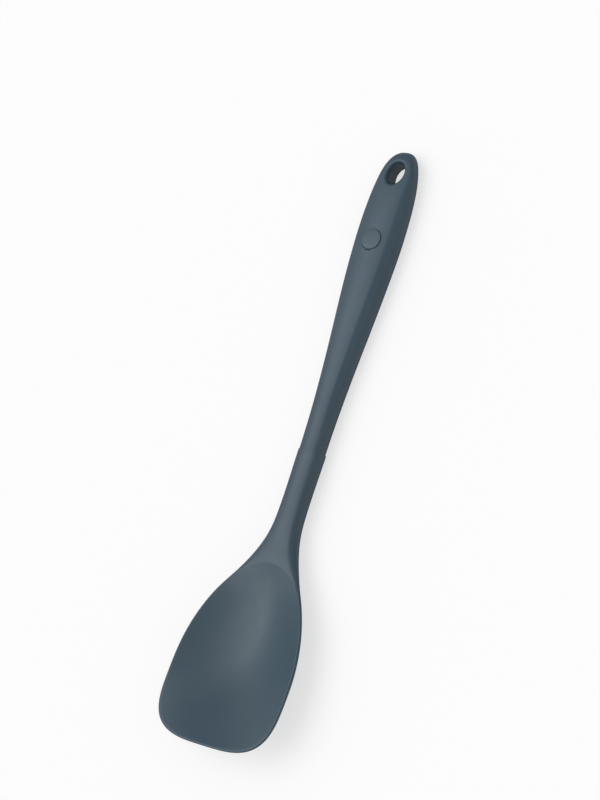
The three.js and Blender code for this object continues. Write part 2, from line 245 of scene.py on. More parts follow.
class Nodes:
    """A material's node tree, with short calls to add and join nodes."""

    def __init__(self, name: str) -> None:
        """Starts an empty material.

        Args:
            name: the material's name.
        """
        self.material = bpy.data.materials.new(name)
        self.material.use_nodes = True
        self.tree = self.material.node_tree
        self.tree.nodes.clear()
        self.output = self.add("ShaderNodeOutputMaterial")

    def add(self, kind: str, **values: object) -> bpy.types.Node:
        """Adds a node.

        Args:
            kind: the node's type name.
            **values: values for the node's own properties.

        Returns:
            The new node.
        """
        node = self.tree.nodes.new(kind)
        for key, value in values.items():
            setattr(node, key, value)
        return node

    def join(self, start: bpy.types.NodeSocket, end: bpy.types.NodeSocket) -> None:
        """Links two sockets."""
        self.tree.links.new(start, end)

    def noise(self, grain: float, detail: float, place: bpy.types.NodeSocket) -> bpy.types.NodeSocket:
        """Adds a noise of a given grain size.

        Args:
            grain: size of a grain.
            detail: octaves of finer noise.
            place: the coordinates to read.

        Returns:
            The noise's value socket.
        """
        node = self.add("ShaderNodeTexNoise")
        node.inputs["Scale"].default_value = 1 / (grain * MM)
        node.inputs["Detail"].default_value = detail
        self.join(place, node.inputs["Vector"])
        return node.outputs["Fac"]

    def span(self, value: bpy.types.NodeSocket, low: float, high: float) -> bpy.types.NodeSocket:
        """Maps the middle part of a value that runs from 0 to 1 to a range.

        Args:
            value: a noise, or how much a surface faces away.
            low: result at the value's low end.
            high: result at its high end.

        Returns:
            The mapped value.
        """
        node = self.add("ShaderNodeMapRange")
        node.inputs["From Min"].default_value = NOISE_LOW
        node.inputs["From Max"].default_value = NOISE_HIGH
        node.inputs["To Min"].default_value = low
        node.inputs["To Max"].default_value = high
        self.join(value, node.inputs["Value"])
        return node.outputs["Result"]

    def tint(
        self, value: bpy.types.NodeSocket, dark: Sequence[float], light: Sequence[float]
    ) -> bpy.types.NodeSocket:
        """Mixes two colours by a noise.

        Args:
            value: the noise.
            dark: colour at its low end.
            light: colour at its high end.

        Returns:
            The colour socket.
        """
        node = self.add("ShaderNodeValToRGB")
        node.color_ramp.elements[0].position = NOISE_LOW
        node.color_ramp.elements[0].color = (*dark, 1)
        node.color_ramp.elements[1].position = NOISE_HIGH
        node.color_ramp.elements[1].color = (*light, 1)
        self.join(value, node.inputs["Fac"])
        return node.outputs["Color"]


@dataclass(frozen=True)
class Moulded:
    """A moulded finish: one colour that drifts slightly, an uneven satin and a fine tooled grain."""

    name: str
    colour: Colour
    roughness: float
    drift: float = 0.04
    unevenness: float = 0.03
    grain: float = 0.35
    grain_height: float = 0.0035
    grain_detail: float = 2.0
    index: float = 1.5
    gloss: float = 0.5
    edge_gloss: float = 0.03
    cloud: float = 38.0
    cloud_detail: float = 2.0
    mottle: float = 6.0
    mottle_detail: float = 3.0

    def make(self) -> bpy.types.Material:
        """Builds the finish as a node material.

        Returns:
            The new material.
        """
        nodes = Nodes(self.name)
        place = nodes.add("ShaderNodeTexCoord").outputs["Object"]
        shader = nodes.add("ShaderNodeBsdfPrincipled")
        shader.inputs["IOR"].default_value = self.index
        clouds = nodes.noise(self.cloud, self.cloud_detail, place)
        dark = [c * (1 - self.drift) for c in self.colour]
        light = [c * (1 + self.drift) for c in self.colour]
        nodes.join(nodes.tint(clouds, dark, light), shader.inputs["Base Color"])
        mottle = nodes.noise(self.mottle, self.mottle_detail, place)
        low, high = self.roughness - self.unevenness, self.roughness + self.unevenness
        nodes.join(nodes.span(mottle, low, high), shader.inputs["Roughness"])
        facing = nodes.add("ShaderNodeLayerWeight").outputs["Facing"]
        gloss = nodes.span(facing, self.gloss, self.edge_gloss)
        nodes.join(gloss, shader.inputs["Specular IOR Level"])
        bump = nodes.add("ShaderNodeBump")
        bump.inputs["Strength"].default_value = 1.0
        bump.inputs["Distance"].default_value = self.grain_height * MM
        nodes.join(nodes.noise(self.grain, self.grain_detail, place), bump.inputs["Height"])
        nodes.join(bump.outputs["Normal"], shader.inputs["Normal"])
        nodes.join(shader.outputs["BSDF"], nodes.output.inputs["Surface"])
        return nodes.material


@dataclass(frozen=True)
class Paper:
    """The pale floor's matt white, which the camera and reflections see with a lightened shadow."""

    name: str = "floor_white"
    tone: float = 0.95
    bounce_tone: float = 0.25
    lightening: float = 0.65

    def make(self) -> bpy.types.Material:
        """Builds the floor's material.

        Returns:
            The new material.
        """
        nodes = Nodes(self.name)
        matt = nodes.add("ShaderNodeBsdfDiffuse")
        white = nodes.add("ShaderNodeEmission")
        white.inputs["Strength"].default_value = 1.0
        path = nodes.add("ShaderNodeLightPath")
        mirrored = nodes.add("ShaderNodeMath", operation="MAXIMUM")
        nodes.join(path.outputs["Is Glossy Ray"], mirrored.inputs[0])
        nodes.join(path.outputs["Is Transmission Ray"], mirrored.inputs[1])
        seen = nodes.add("ShaderNodeMath", operation="MAXIMUM")
        nodes.join(path.outputs["Is Camera Ray"], seen.inputs[0])
        nodes.join(mirrored.outputs["Value"], seen.inputs[1])
        tone = nodes.add("ShaderNodeMapRange")
        tone.inputs["To Min"].default_value = self.bounce_tone
        tone.inputs["To Max"].default_value = self.tone
        nodes.join(seen.outputs["Value"], tone.inputs["Value"])
        nodes.join(tone.outputs["Result"], matt.inputs["Color"])
        share = nodes.add("ShaderNodeMath", operation="MULTIPLY")
        share.inputs[1].default_value = self.lightening
        nodes.join(seen.outputs["Value"], share.inputs[0])
        mix = nodes.add("ShaderNodeMixShader")
        nodes.join(share.outputs["Value"], mix.inputs["Fac"])
        nodes.join(matt.outputs["BSDF"], mix.inputs[1])
        nodes.join(white.outputs["Emission"], mix.inputs[2])
        nodes.join(mix.outputs["Shader"], nodes.output.inputs["Surface"])
        return nodes.material


class Finish(Enum):
    """The finishes of the spoon's pieces."""

    GRIP = Moulded("satin_grip_silicone", SLATE_BLUE, roughness=0.39)
    BOWL = Moulded("matt_bowl_silicone", SLATE_BLUE, roughness=0.365)
    BADGE = Moulded(
        "satin_badge_silicone",
        BADGE_BLUE,
        roughness=0.38,
        drift=0.03,
        unevenness=0.02,
        grain=0.3,
        grain_height=0.003,
    )
    CORE = Moulded(
        "black_filled_nylon",
        NYLON_BLACK,
        roughness=0.55,
        drift=0.12,
        unevenness=0.08,
        grain=0.5,
        grain_height=0.012,
        index=1.53,
    )

    def coat(self, piece: bpy.types.Object) -> None:
        """Makes this finish the only material of a piece."""
        piece.data.materials.clear()
        piece.data.materials.append(self.value.make())


@dataclass
class Piece:
    """A modelled piece: its name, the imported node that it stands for, its slot and its finish."""

    name: str
    node: str
    slot: Slot
    finish: Finish

    def dress(self, piece: bpy.types.Object) -> None:
        """Gives the modelled piece its finish, hangs it on the root body, and hides the imported node
        that it stands for.

        Args:
            piece: the finished object.
        """
        self.finish.coat(piece)
        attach(piece, "root")
        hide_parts(self.node)
        LOG.info("%s: %d faces", piece.name, len(piece.data.polygons))


@dataclass
class Core:
    """The stiff core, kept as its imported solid."""

    node: str = "nylon_core"
    slot: Slot = Slot.CORE
    finish: Finish = Finish.CORE
    clearance: float = 0.15
    weld_gap: float = 0.001

    def cavity_cutter(self) -> bpy.types.Object:
        """A slightly swollen copy of the core, to hollow the skins with.

        Returns:
            The copy, as a new object at the origin.
        """
        deselect()
        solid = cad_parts[self.node]
        copy = bpy.data.objects.new("cavity", solid.data.copy())
        bpy.context.scene.collection.objects.link(copy)
        pick(copy)
        bpy.ops.object.mode_set(mode="EDIT")
        bpy.ops.mesh.select_all(action="SELECT")
        bpy.ops.mesh.remove_doubles(threshold=self.weld_gap * MM)
        bpy.ops.object.mode_set(mode="OBJECT")
        apply_modifier(copy, "DISPLACE", strength=self.clearance * MM, mid_level=0.0, direction="NORMAL")
        return copy

    def dress(self) -> None:
        """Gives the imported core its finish."""
        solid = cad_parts[self.node]
        self.finish.coat(solid)
        LOG.info("%s: %d faces", self.node, len(solid.data.polygons))


@dataclass
class Badge(Piece):
    """The plain round badge on the grip: a low disc with a rounded edge and a shallow round field."""

    name: str = "badge_disc"
    node: str = "grip_badge"
    slot: Slot = Slot.BADGE
    finish: Finish = Finish.BADGE
    station: float = 46.2
    radius: float = 5.0
    proud: float = 0.15
    seat_depth: float = 0.9
    seat_gap: float = 0.02
    plug_rise: float = 2.0
    edge: float = 0.34
    edge_steps: int = 4
    border: float = 0.9
    field_slope: float = 0.25
    field_depth: float = 0.1
    # Width and rise of each ring of the field's low dome, from its border inwards.
    dome: tuple[tuple[float, float], ...] = ((1.4, 0.03), (1.2, 0.02))
    points: int = 72
    crease_angle: float = 40.0

    def disc(self, radius: float, low: float, high: float) -> bpy.types.Object:
        """Adds a closed round disc.

        Args:
            radius: of the disc.
            low: height of its underside.
            high: height of its face.

        Returns:
            The disc, in edit mode, with its face selected.
        """
        deselect()
        bpy.ops.mesh.primitive_circle_add(vertices=self.points, radius=radius * MM, fill_type="NGON")
        disc = bpy.context.object
        edit(disc, SelectBy.FACES)
        bpy.ops.mesh.select_all(action="SELECT")
        bpy.ops.transform.translate(value=((LENGTH / 2 - self.station) * MM, 0, low * MM))
        bpy.ops.mesh.extrude_region_move(TRANSFORM_OT_translate={"value": (0, 0, (high - low) * MM)})
        return disc

    def seat_cutter(self) -> bpy.types.Object:
        """The plug that sinks the badge's seat into the grip.

        Returns:
            The plug, to be cut from the grip.
        """
        floor = GRIP_THICKNESS - self.seat_depth
        plug = self.disc(self.radius + self.seat_gap, floor, GRIP_THICKNESS + self.plug_rise)
        face_outwards()
        return plug

    def build(self) -> bpy.types.Object:
        """Models the badge.

        Returns:
            The badge, at the origin, with its place in its mesh.
        """
        floor = GRIP_THICKNESS - self.seat_depth + self.seat_gap
        badge = self.disc(self.radius, floor, GRIP_THICKNESS + self.proud)
        badge.name = self.name
        bpy.ops.mesh.region_to_loop()
        bpy.ops.mesh.bevel(offset=self.edge * MM, segments=self.edge_steps, affect="EDGES")
        self.select_face()
        bpy.ops.mesh.inset(thickness=(self.border - self.edge) * MM)
        bpy.ops.mesh.inset(thickness=self.field_slope * MM, depth=-self.field_depth * MM)
        for width, rise in self.dome:
            bpy.ops.mesh.inset(thickness=width * MM, depth=rise * MM)
        face_outwards()
        smooth_by_angle(badge, self.crease_angle)
        return badge

    def select_face(self) -> None:
        """Selects the badge's topmost face in edit mode."""
        bpy.context.tool_settings.mesh_select_mode = SelectBy.FACES.value
        bpy.ops.mesh.select_all(action="DESELECT")
        mesh = bmesh.from_edit_mesh(bpy.context.object.data)
        top = max(mesh.faces, key=lambda f: f.calc_center_median().z * f.calc_area())
        top.select_set(True)
        mesh.select_flush_mode()
        bmesh.update_edit_mesh(bpy.context.object.data)


@dataclass(frozen=True)
class PlanPoint:
    """A place on a skin seen from above: its station and its distance from the middle line."""

    station: float
    side: float

    def towards(self, other: "PlanPoint", share: float) -> "PlanPoint":
        """The place a share of the way to another one."""
        station = self.station + (other.station - self.station) * share
        return PlanPoint(station, self.side + (other.side - self.side) * share)

    def at(self, height: float) -> Vector:
        """This place at a height, in metres in the part's frame."""
        return Vector((LENGTH / 2 - self.station, self.side, height)) * MM


@dataclass
class Skin(Piece):
    """A silicone shell over a plan outline that is square at the seam and round at its far end.

    The front and back are grids. Towards the far end their lines bend to follow its round outline.
    """

    seam: float
    turn: float
    end: float
    end_power: float
    end_rows: int
    columns: int
    crease_angle: float = 32.0
    rows: list[float] = field(init=False)

    @property
    def last_row(self) -> int:
        """Number of the grids' last row."""
        return len(self.rows) + self.end_rows - 1

    def half(self, station: float) -> float:
        """Half the outline's width before the round end starts."""
        raise NotImplementedError

    def border(self, station: float, face: Side) -> float:
        """Width of the rounded edge between a face and the outline."""
        raise NotImplementedError

    def front(self, point: PlanPoint) -> float:
        """Height of the front face."""
        raise NotImplementedError

    def back(self, point: PlanPoint) -> float:
        """Height of the back face."""
        raise NotImplementedError

    def edge(self, front: PlanPoint, outer: PlanPoint, back: PlanPoint) -> list[Vector]:
        """Points round the edge, from the front's border by the outline to the back's border."""
        raise NotImplementedError

    def plan(self, row: int, column: int, face: Side) -> PlanPoint:
        """Where a grid point lies.

        Args:
            row: counted from the seam to the far end.
            column: counted across from the -Y side.
            face: the grid's face, or the outline itself.

        Returns:
            The place in plan.
        """
        across = 2 * column / self.columns - 1
        if row < len(self.rows):
            station = self.rows[row]
            return PlanPoint(station, across * (self.half(station) - self.border(station, face)))
        along = (row - len(self.rows) + 1) / self.end_rows
        power = self.end_power
        x = along * (1 - abs(across) ** power / 2) ** (1 / power)
        y = across * (1 - along**power / 2) ** (1 / power)
        taken = self.border(self.turn, face)
        towards = math.copysign(1.0, self.end - self.turn)
        length = abs(self.end - self.turn) - taken
        return PlanPoint(self.turn + towards * x * length, y * (self.half(self.turn) - taken))

    def mould(self) -> bpy.types.Object:
        """Models the closed skin, before anything is cut from it.

        Returns:
            The new object, at the origin, with its place in its mesh.
        """
        deselect()
        self.add_grid()
        skin = bpy.context.object
        skin.name = self.name
        edit(skin, SelectBy.EDGES)
        self.shape_grid(skin, Side.FRONT)
        self.extrude_edge(skin)
        self.add_grid()
        self.shape_grid(skin, Side.BACK)
        bpy.ops.mesh.select_all(action="SELECT")
        bpy.ops.mesh.remove_doubles(threshold=WELD_GAP * MM)
        cap_holes()
        face_outwards()
        return skin

    def add_grid(self) -> None:
        """Adds a flat unit grid with the skin's rows and columns."""
        bpy.ops.mesh.primitive_grid_add(x_subdivisions=self.last_row, y_subdivisions=self.columns, size=1)

    def shape_grid(self, skin: bpy.types.Object, side: Side) -> None:
        """Moves the selected flat unit grid to the skin's front or back.

        Args:
            skin: the object in edit mode.
            side: which face the grid becomes.
        """
        mesh = bmesh.from_edit_mesh(skin.data)
        layers = mesh.verts.layers.int
        row_mark = layers.get("row") or layers.new("row")
        column_mark = layers.get("column") or layers.new("column")
        loop_mark = layers.get("loop") or layers.new("loop")
        height = self.front if side is Side.FRONT else self.back
        for vert in mesh.verts:
            if not vert.select:
                continue
            vert[row_mark] = round((vert.co.x + 0.5) * self.last_row)
            vert[column_mark] = round((vert.co.y + 0.5) * self.columns)
            on_border = vert[column_mark] in (0, self.columns) or vert[row_mark] == self.last_row
            vert[loop_mark] = 1 if on_border and side is Side.FRONT else 0
            point = self.plan(vert[row_mark], vert[column_mark], side)
            vert.co = point.at(height(point))
        bmesh.update_edit_mesh(skin.data)

    def extrude_edge(self, skin: bpy.types.Object) -> None:
        """Extrudes the front's border loop by loop round the edge, down to the back.

        Args:
            skin: the object in edit mode, holding the front grid.
        """
        mesh = bmesh.from_edit_mesh(skin.data)
        row_mark = mesh.verts.layers.int["row"]
        column_mark = mesh.verts.layers.int["column"]
        routes: dict[tuple[int, int], list[Vector]] = {}
        for edge in mesh.edges:
            edge.select_set(edge.is_boundary and any(v[row_mark] != 0 for v in edge.verts))
            if not edge.select:
                continue
            for vert in edge.verts:
                key = (vert[row_mark], vert[column_mark])
                routes[key] = self.edge(*(self.plan(*key, face) for face in Side))
        bmesh.update_edit_mesh(skin.data)
        loops = len(next(iter(routes.values())))
        for loop in range(1, loops):
            bpy.ops.mesh.extrude_edges_move()
            mesh = bmesh.from_edit_mesh(skin.data)
            row_mark = mesh.verts.layers.int["row"]
            column_mark = mesh.verts.layers.int["column"]
            loop_mark = mesh.verts.layers.int["loop"]
            for vert in mesh.verts:
                if not vert.select:
                    continue
                vert.co = routes[(vert[row_mark], vert[column_mark])][loop]
                vert[loop_mark] = loop + 1
            bmesh.update_edit_mesh(skin.data)


@dataclass
class GripSkin(Skin):
    """The grip: a tapering bar with a crowned face, sloping sides, a flat back and rounded edges."""

    name: str = "grip_shell"
    node: str = "grip_skin"
    slot: Slot = Slot.GRIP
    finish: Finish = Finish.GRIP
    seam: float = SEAM - GAP_AT_SEAM / 2
    turn: float = 45.0
    end: float = 0.0
    end_power: float = 2.6
    end_rows: int = 44
    columns: int = 64
    row_step: float = 1.2
    corner_steps: int = 8
    face_edge: float = 0.03
    side_end: float = 13.0
    end_fall: float = 0.8
    hole_station: float = 12.0
    hole_length: float = 11.6
    hole_width: float = 8.8
    hole_edge: float = 1.4
    hole_back_edge: float = 0.6
    hole_points: int = 96
    mouth_step: int = 15
    # Rise over the face and extra growth of the hole cutter's two outermost rings.
    plug_ends: tuple[tuple[float, float], ...] = ((6.0, 0.4), (0.08, 0.3))

    # Station of the widest place, and half the width along the grip.
    widest: float = 37.0
    taper: Sweep = Sweep((Knot(widest, 12.48), Knot(145.0, 6.325)))
    # Height of the face along its middle, and how far its crown falls to the sides.
    top: Sweep = Sweep((
        Knot(60.0, GRIP_THICKNESS),
        Knot(98.0, 11.5, -0.018),
        Knot(SEAM, 10.75),
    ))
    crown: Sweep = Sweep((Knot(widest, 3.3), Knot(SEAM, 2.1)))
    # The face's share of the width, and how much more the sides fall over half a width.
    face_share: Sweep = Sweep((Knot(widest, 0.655), Knot(SEAM, 0.53)))
    side_fall: Sweep = Sweep((Knot(widest, 3.4), Knot(95.0, 3.0, -0.03), Knot(SEAM, 0.1)))
    # Widths of the rounded edges, and height of the back.
    front_round: Sweep = Sweep((Knot(widest, 2.4), Knot(SEAM, 2.2)))
    back_round: Sweep = Sweep((Knot(widest, 5.96), Knot(SEAM, 3.84)))
    lift: Sweep = Sweep((Knot(120.0, 0.0), Knot(SEAM, WAIST_LIFT, 0.03)))

    def __post_init__(self) -> None:
        """Lays out the rows of the grids."""
        self.rows = spread(self.seam, self.turn, self.row_step) + [self.turn]

    def half(self, station: float) -> float:
        """Half the grip's width."""
        return self.taper.at(station)

    def border(self, station: float, face: Side) -> float:
        """Width of the grip's rounded edges."""
        rounds = {Side.FRONT: self.front_round.at(station), Side.BACK: self.back_round.at(station)}
        return rounds.get(face, 0.0)

    def into_end(self, station: float, length: float) -> float:
        """How far a station lies into the last length of the hanging end: 0 before it, 1 at the end."""
        return max(0.0, self.end + length - station) / length

    def reach(self, point: PlanPoint, length: float) -> float:
        """How far out a place lies, from 0 in the middle to 1 at the sides and the hanging end.

        Args:
            point: the place.
            length: the stretch of the hanging end over which the reach turns round it.

        Returns:
            The reach.
        """
        into = self.into_end(point.station, length)
        across = abs(point.side) / self.half(point.station)
        return (into**self.end_power + across**self.end_power) ** (1 / self.end_power)

    def front(self, point: PlanPoint) -> float:
        """The crowned face, highest along the middle, and the sides that slope away from it.

        Args:
            point: the place in plan.

        Returns:
            The face's height there.
        """
        station = point.station
        round_end = self.turn - self.end
        crown = self.crown.at(station) * self.reach(point, round_end) ** 2
        crown += self.end_fall * self.into_end(station, round_end) ** 2
        past_face = self.reach(point, self.side_end) - self.face_share.at(station)
        slope = (past_face + math.hypot(past_face, self.face_edge)) / 2
        return self.top.at(station) - crown - self.side_fall.at(station) * slope

    def back(self, point: PlanPoint) -> float:
        """The flat back, which lifts a little towards the neck."""
        return self.lift.at(point.station)

    def edge(self, front: PlanPoint, outer: PlanPoint, back: PlanPoint) -> list[Vector]:
        """A quarter round that carries the sides on, then a quarter oval from there to the back.

        Args:
            front: a place on the front grid's border.
            outer: the place beside it on the outline.
            back: the place beside it on the back grid's border.

        Returns:
            The points, from the front's border to the back's.
        """
        turns = [math.pi / 2 * i / self.corner_steps for i in range(self.corner_steps + 1)]
        high = self.border(front.station, Side.FRONT)
        widest = self.front(outer) - high
        upper, lower = [], []
        for turn in turns:
            place = front.towards(outer, math.sin(turn))
            upper.append(place.at(self.front(place) - high * (1 - math.cos(turn))))
            place = back.towards(outer, math.sin(turn))
            floor = self.back(place)
            lower.append(place.at(floor + (widest - floor) * (1 - math.cos(turn))))
        lower.reverse()
        return upper + lower[1:]

    def build(self, badge: Badge, core: Core) -> bpy.types.Object:
        """Models the grip with its hanging hole, the badge's seat and the core's cavity.

        Args:
            badge: the badge that is seated in the face.
            core: the core that the grip is moulded on.

        Returns:
            The finished shell.
        """
        shell = self.mould()
        cut(shell, self.hole_cutter())
        cut(shell, badge.seat_cutter())
        cut(shell, core.cavity_cutter())
        clean(shell)
        smooth_by_angle(shell, self.crease_angle)
        return shell

    def mouth(self, edge: float) -> list[tuple[float, float]]:
        """One flared mouth of the hanging hole.

        Args:
            edge: radius of the mouth's rounding.

        Returns:
            The height above the grip's face and the growth of each ring, from the outside inwards.
        """
        ends = [(rise, edge + grow) for rise, grow in self.plug_ends]
        turns = [math.radians(angle) for angle in range(90, 0, -self.mouth_step)]
        flare = [(-edge * (1 - math.sin(t)), edge * (1 - math.cos(t))) for t in turns]
        return ends + flare

    def hole_cutter(self) -> bpy.types.Object:
        """Models an oval plug whose two ends flare out along the grip's faces.

        Returns:
            The plug, to be cut from the grip.
        """
        rings = [(*ring, Side.FRONT) for ring in self.mouth(self.hole_edge)]
        rings += [(*ring, Side.BACK) for ring in reversed(self.mouth(self.hole_back_edge))]
        deselect()
        bpy.ops.mesh.primitive_circle_add(vertices=self.hole_points, radius=1)
        plug = bpy.context.object
        edit(plug, SelectBy.EDGES)
        mesh = bmesh.from_edit_mesh(plug.data)
        mark = mesh.verts.layers.int.new("turn")
        for index, vert in enumerate(mesh.verts):
            vert[mark] = index
        bmesh.update_edit_mesh(plug.data)
        bpy.ops.mesh.select_all(action="SELECT")
        for number, (rise, grow, side) in enumerate(rings):
            if number:
                bpy.ops.mesh.extrude_edges_move()
            self.shape_oval(plug, rise, grow, side)
        cap_holes()
        face_outwards()
        return plug

    def shape_oval(self, plug: bpy.types.Object, rise: float, grow: float, side: Side) -> None:
        """Moves the plug's selected ring to an oval that follows the grip's front or back.

        Args:
            plug: the object in edit mode.
            rise: height above the face, outwards.
            grow: how much wider than the bore the ring is, all round.
            side: the face that the ring follows.
        """
        mesh = bmesh.from_edit_mesh(plug.data)
        mark = mesh.verts.layers.int["turn"]
        for vert in mesh.verts:
            if not vert.select:
                continue
            # Half a step on, so that no point of the plug meets the grid's middle line.
            turn = 2 * math.pi * (vert[mark] + 0.5) / self.hole_points
            along = self.hole_station - (self.hole_length / 2 + grow) * math.cos(turn)
            across = (self.hole_width / 2 + grow) * math.sin(turn)
            point = PlanPoint(along, across)
            height = self.front(point) + rise if side is Side.FRONT else self.back(point) - rise
            vert.co = point.at(height)
        bmesh.update_edit_mesh(plug.data)


@dataclass
class BowlSkin(Skin):
    """The bowl with its neck sleeve: a flared scoop with an arched start and a thin rounded rim."""

    name: str = "bowl_shell"
    node: str = "bowl_skin"
    slot: Slot = Slot.BOWL
    finish: Finish = Finish.BOWL
    seam: float = SEAM + GAP_AT_SEAM / 2
    turn: float = 260.0
    end: float = LENGTH
    end_power: float = 3.4
    end_rows: int = 40
    columns: int = 84
    neck_step: float = 1.2
    arch_step: float = 0.4
    bowl_step: float = 0.8
    before_arch: float = 3.0
    after_arch: float = 13.0
    edge_steps: int = 8
    rim_half: float = 0.8
    rim_land: float = 0.85
    rim_bevel: float = 0.22
    rim_bevel_steps: int = 3
    trough: float = 0.75
    arch: float = 203.0
    arch_tip: float = 0.3
    arch_length: float = 60.0
    arch_half_width: float = 32.9
    arch_crease: float = 0.1
    arch_meets_rim: float = 236.0
    arch_rim_blend: float = 0.4
    sleeve_end: float = 181.0
    crown_start: float = 199.4

    # Half the width, and height of the rim's middle.
    flare: Sweep = Sweep((
        Knot(SEAM, 6.6),
        Knot(sleeve_end, 6.8, 0.06),
        Knot(214.0, 19.9, 0.63),
        Knot(258.0, 32.5),
        Knot(LENGTH, 31.9, -0.03),
    ))
    rim: Sweep = Sweep((
        Knot(SEAM, 5.6, 0.03),
        Knot(187.0, 6.8, 0.05),
        Knot(208.0, 9.2, 0.19),
        Knot(223.0, 11.9, 0.13),
        Knot(259.0, 15.5, 0.1),
        Knot(LENGTH, 18.9, 0.11),
    ))
    # Half the height of the side wall, and width of its rounding.
    side_wall: Sweep = Sweep((
        Knot(SEAM, 1.8),
        Knot(sleeve_end, 1.9, 0.02),
        Knot(198.0, 2.6),
        Knot(216.0, rim_half),
    ))
    rounding: Sweep = Sweep((
        Knot(SEAM, 1.8),
        Knot(180.0, 2.0, 0.03),
        Knot(200.0, 4.4),
        Knot(220.0, rim_land),
    ))
    # Height of the neck's crowned top, and how the crown fades into the bowl.
    neck_top: Sweep = Sweep((
        Knot(SEAM, WAIST_THICKNESS + SEAM_STEP, 0.01),
        Knot(187.0, 11.3, 0.015),
        Knot(crown_start, 11.5),
    ))
    crown_fade: Sweep = Sweep((Knot(crown_start, 1.0), Knot(215.0, 0.0)))
    # Height of the back and of the hollow along the middle line.
    back_middle: Sweep = Sweep((
        Knot(SEAM, WAIST_LIFT - SEAM_STEP, 0.03),
        Knot(sleeve_end, 1.6, 0.035),
        Knot(200.0, 2.2),
        Knot(238.0, 0.0),
        Knot(264.0, 5.6, 0.34),
        Knot(LENGTH, 17.9, 0.585),
    ))
    hollow_middle: Sweep = Sweep((
        Knot(arch, 11.38, -0.4),
        Knot(227.0, 5.15, -0.09),
        Knot(264.0, 9.0, 0.31),
        Knot(LENGTH - rim_land, rim.at(LENGTH - rim_land) + rim_half, 0.5),
    ))
    # Power of the crown's and keel's sections: an ellipse on the neck, a parabola on the bowl.
    section_power: Sweep = Sweep((Knot(sleeve_end, 0.5), Knot(205.0, 1.0)))

    def __post_init__(self) -> None:
        """Lays out the rows of the grids, which are closest round the arch."""
        fine_start, fine_end = self.arch - self.before_arch, self.arch + self.after_arch
        self.rows = spread(self.seam, fine_start, self.neck_step)
        self.rows += spread(fine_start, fine_end, self.arch_step)
        self.rows += spread(fine_end, self.turn, self.bowl_step) + [self.turn]

    def half(self, station: float) -> float:
        """Half the neck's or bowl's width."""
        return self.flare.at(station)

    def border(self, station: float, face: Side) -> float:
        """Width of the rounded edge: wide on the neck, the rim's land on the bowl."""
        return 0.0 if face is Side.OUTLINE else self.rounding.at(station)

    def share(self, station: float, side: float, inset: float) -> float:
        """How far across its own station a place lies, from 0 in the middle to 1 at the outline.

        Args:
            station: distance from the hanging end.
            side: distance from the middle line.
            inset: how much the outline is taken in.

        Returns:
            The share, at most 1.
        """
        into_tip = max(0.0, station - self.turn) / (self.end - self.turn - inset)
        half = (self.half(station) - inset) * arc(into_tip, self.end_power)
        return min(1.0, abs(side) / half) if half > NO_WIDTH else 1.0

    def round_off(self, station: float, side: float) -> float:
        """Share of the crown or keel that is left at a place."""
        across = self.share(station, side, 0.0)
        return max(0.0, 1 - across**2) ** self.section_power.at(station)

    def solid_front(self, station: float, side: float) -> float:
        """The front before it is hollowed.

        Args:
            station: distance from the hanging end.
            side: distance from the middle line.

        Returns:
            The height of the neck's top or the rim's.
        """
        flat = self.rim.at(station) + self.side_wall.at(station)
        crown = max(0.0, self.neck_top.at(station) - flat) * self.crown_fade.at(station)
        return flat + crown * self.round_off(station, side)

    def keel(self, station: float, side: float) -> float:
        """How far the back bulges below the rim's underside."""
        depth = self.rim.at(station) - self.side_wall.at(station) - self.back_middle.at(station)
        return depth * self.round_off(station, side)

    def trough_rise(self, across: float) -> float:
        """How far the hollow rises across: round along its middle, then almost straight to the rim."""
        steep = math.sqrt(1 + (across / self.trough) ** 2) - 1
        return steep / (math.sqrt(1 + 1 / self.trough**2) - 1)

    def hollow(self, station: float, side: float) -> float:
        """The hollow's floor, carried on past its edge so that the two faces cross in a crease.

        Args:
            station: distance from the hanging end.
            side: distance from the middle line.

        Returns:
            The floor's height.
        """
        foot = self.arch + self.arch_length
        into = (foot - station) / self.arch_length
        start = self.arch + self.arch_tip
        if station < start:
            spare = 1 - ((foot - start) / self.arch_length) ** 2
            steepness = (self.solid_front(start, 0) - self.hollow_middle.at(start)) / spare
            inside = 1 - into**2 - (side / self.arch_half_width) ** 2
            return self.solid_front(station, 0) - steepness * inside
        if station < self.arch_meets_rim:
            sides = self.half(station) - self.rim_land
            half = soft_min(self.arch_half_width * arc(into, 2), sides, self.arch_rim_blend)
            across = side / half
        else:
            across = self.share(station, side, self.rim_land)
            half = abs(side)
        edge = self.solid_front(station, half)
        middle = self.hollow_middle.at(station)
        return middle + (edge - middle) * self.trough_rise(across)

    def front(self, point: PlanPoint) -> float:
        """The neck's top and the hollow, with the arched crease between them.

        Args:
            point: the place in plan.

        Returns:
            The front's height there.
        """
        top = self.solid_front(point.station, point.side)
        floor = self.hollow(point.station, point.side)
        if point.station >= self.arch_meets_rim:
            return min(top, floor)
        return soft_min(top, floor, self.arch_crease)

    def back(self, point: PlanPoint) -> float:
        """The bowl's bulging back and the neck's underside."""
        underside = self.rim.at(point.station) - self.side_wall.at(point.station)
        return underside - self.keel(point.station, point.side)

